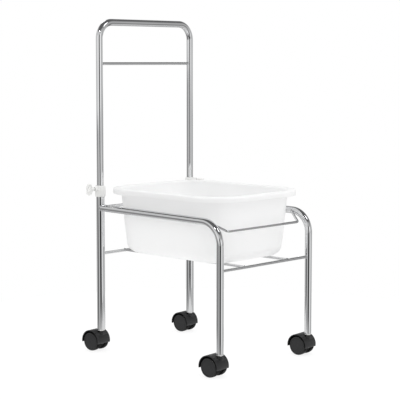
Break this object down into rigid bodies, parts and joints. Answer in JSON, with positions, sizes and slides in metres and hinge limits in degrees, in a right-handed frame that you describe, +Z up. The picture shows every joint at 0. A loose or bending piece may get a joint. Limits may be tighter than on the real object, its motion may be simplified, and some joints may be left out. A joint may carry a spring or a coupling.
{
  "type": "pedicure foot bath",
  "caption": "Wheeled chrome tube stand that carries a lift-out white plastic foot tub below a height-adjustable U-shaped push handle.",
  "frame": {"origin": "on the floor, under the middle of the whole object's box", "axes": "+Z up, -Y towards the front (the tub's free end), +Y towards the handle, -X left"},
  "size_m": [0.4354, 0.4945, 0.881],
  "materials": {
    "chrome": "bright chrome plating",
    "bare_steel": "zinc-plated steel",
    "white_tub": "moulded white plastic, satin",
    "white_clamp": "moulded white plastic, matt",
    "black_housing": "moulded black nylon, fine grain",
    "black_wheel": "moulded charcoal nylon, matt"
  },
  "bodies": {
    "trolley_frame": {"left_rear_leg": "chrome", "left_side_rail": "chrome", "left_support_rod": "chrome", "left_collar": "white_clamp", "left_clamp_nut": "bare_steel", "right_rear_leg": "chrome", "right_side_rail": "chrome", "right_support_rod": "chrome", "right_collar": "white_clamp", "right_clamp_nut": "bare_steel", "rear_upper_rod": "chrome", "rear_lower_rod": "chrome", "front_lower_rod": "chrome", "front_guard_rod": "chrome", "front_left_leg_socket": "white_clamp", "front_left_grip_ring": "bare_steel", "front_right_leg_socket": "white_clamp", "front_right_grip_ring": "bare_steel", "rear_left_leg_socket": "white_clamp", "rear_left_grip_ring": "bare_steel", "rear_right_leg_socket": "white_clamp", "rear_right_grip_ring": "bare_steel"},
    "handle": {"handle_tube": "chrome", "handle_crossbar": "chrome", "left_handle_glide": "white_clamp", "right_handle_glide": "white_clamp"},
    "left_clamp_screw": {"left_wing_knob": "white_clamp", "left_clamp_stud": "bare_steel"},
    "right_clamp_screw": {"right_wing_knob": "white_clamp", "right_clamp_stud": "bare_steel"},
    "tub_body": {"tub": "white_tub"},
    "front_left_caster": {"front_left_caster_housing": "black_housing", "front_left_caster_stem": "bare_steel", "front_left_caster_axle": "bare_steel"},
    "front_left_left_wheel": {"front_left_caster_left_wheel": "black_wheel"},
    "front_left_right_wheel": {"front_left_caster_right_wheel": "black_wheel"},
    "front_right_caster": {"front_right_caster_housing": "black_housing", "front_right_caster_stem": "bare_steel", "front_right_caster_axle": "bare_steel"},
    "front_right_left_wheel": {"front_right_caster_left_wheel": "black_wheel"},
    "front_right_right_wheel": {"front_right_caster_right_wheel": "black_wheel"},
    "rear_left_caster": {"rear_left_caster_housing": "black_housing", "rear_left_caster_stem": "bare_steel", "rear_left_caster_axle": "bare_steel"},
    "rear_left_left_wheel": {"rear_left_caster_left_wheel": "black_wheel"},
    "rear_left_right_wheel": {"rear_left_caster_right_wheel": "black_wheel"},
    "rear_right_caster": {"rear_right_caster_housing": "black_housing", "rear_right_caster_stem": "bare_steel", "rear_right_caster_axle": "bare_steel"},
    "rear_right_left_wheel": {"rear_right_caster_left_wheel": "black_wheel"},
    "rear_right_right_wheel": {"rear_right_caster_right_wheel": "black_wheel"}
  },
  "joints": [
    {"name": "handle_height", "type": "slide", "parent": "trolley_frame", "child": "handle", "axis": [0, 0, 1], "range_m": [-0.12, 0.1]},
    {"name": "tub_lift", "type": "slide", "parent": "trolley_frame", "child": "tub_body", "axis": [0, 0, 1], "range_m": [0, 0.18]},
    {"name": "left_screw_turn", "type": "hinge", "parent": "trolley_frame", "child": "left_clamp_screw", "pos_m": [-0.17, 0.19654, 0.4345], "axis": [-1, 0, 0], "range_deg": [0, 360]},
    {"name": "right_screw_turn", "type": "hinge", "parent": "trolley_frame", "child": "right_clamp_screw", "pos_m": [0.17, 0.19654, 0.4345], "axis": [1, 0, 0], "range_deg": [0, 360]},
    {"name": "front_left_swivel", "type": "hinge", "parent": "trolley_frame", "child": "front_left_caster", "pos_m": [-0.17, -0.23546, 0.0527], "axis": [0, 0, 1], "continuous": true},
    {"name": "front_left_left_roll", "type": "hinge", "parent": "front_left_caster", "child": "front_left_left_wheel", "pos_m": [-0.17155, -0.21702, 0.02498], "axis": [0.9965, 0.0837, 0], "continuous": true},
    {"name": "front_left_right_roll", "type": "hinge", "parent": "front_left_caster", "child": "front_left_right_wheel", "pos_m": [-0.17155, -0.21702, 0.02498], "axis": [0.9965, 0.0837, 0], "continuous": true},
    {"name": "front_right_swivel", "type": "hinge", "parent": "trolley_frame", "child": "front_right_caster", "pos_m": [0.17, -0.23546, 0.0527], "axis": [0, 0, 1], "continuous": true},
    {"name": "front_right_left_roll", "type": "hinge", "parent": "front_right_caster", "child": "front_right_left_wheel", "pos_m": [0.16845, -0.21702, 0.02498], "axis": [0.9965, 0.0837, 0], "continuous": true},
    {"name": "front_right_right_roll", "type": "hinge", "parent": "front_right_caster", "child": "front_right_right_wheel", "pos_m": [0.16845, -0.21702, 0.02498], "axis": [0.9965, 0.0837, 0], "continuous": true},
    {"name": "rear_left_swivel", "type": "hinge", "parent": "trolley_frame", "child": "rear_left_caster", "pos_m": [-0.17, 0.19654, 0.0527], "axis": [0, 0, 1], "continuous": true},
    {"name": "rear_left_left_roll", "type": "hinge", "parent": "rear_left_caster", "child": "rear_left_left_wheel", "pos_m": [-0.17155, 0.21498, 0.02498], "axis": [0.9965, 0.0837, 0], "continuous": true},
    {"name": "rear_left_right_roll", "type": "hinge", "parent": "rear_left_caster", "child": "rear_left_right_wheel", "pos_m": [-0.17155, 0.21498, 0.02498], "axis": [0.9965, 0.0837, 0], "continuous": true},
    {"name": "rear_right_swivel", "type": "hinge", "parent": "trolley_frame", "child": "rear_right_caster", "pos_m": [0.17, 0.19654, 0.0527], "axis": [0, 0, 1], "continuous": true},
    {"name": "rear_right_left_roll", "type": "hinge", "parent": "rear_right_caster", "child": "rear_right_left_wheel", "pos_m": [0.16845, 0.21498, 0.02498], "axis": [0.9965, 0.0837, 0], "continuous": true},
    {"name": "rear_right_right_roll", "type": "hinge", "parent": "rear_right_caster", "child": "rear_right_right_wheel", "pos_m": [0.16845, 0.21498, 0.02498], "axis": [0.9965, 0.0837, 0], "continuous": true}
  ]
}
